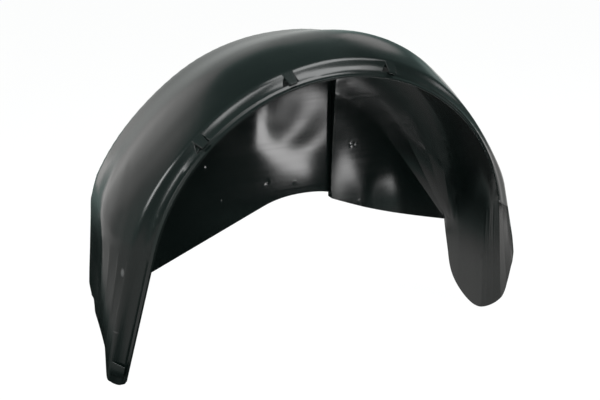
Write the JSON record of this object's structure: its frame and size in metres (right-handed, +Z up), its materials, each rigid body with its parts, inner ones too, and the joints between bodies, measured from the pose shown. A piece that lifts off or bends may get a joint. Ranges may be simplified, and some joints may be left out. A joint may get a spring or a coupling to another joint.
{
  "type": "wheel arch liner",
  "caption": "Arched black plastic shell that lines a car's wheel arch, with a stepped lip, an inner side wall in two panels, legs of unequal length and moulded hooks on the lip.",
  "frame": {"origin": "centre of the wheel opening, in the plane of the outboard rim", "axes": "+X along the car towards the longer leg, +Y inboard from the rim to the inner wall, +Z up"},
  "size_m": [0.8047, 0.256, 0.5967],
  "materials": {
    "plastic": "satin to glossy black"
  },
  "bodies": {
    "root": {"arch_liner": "plastic"}
  },
  "joints": []
}
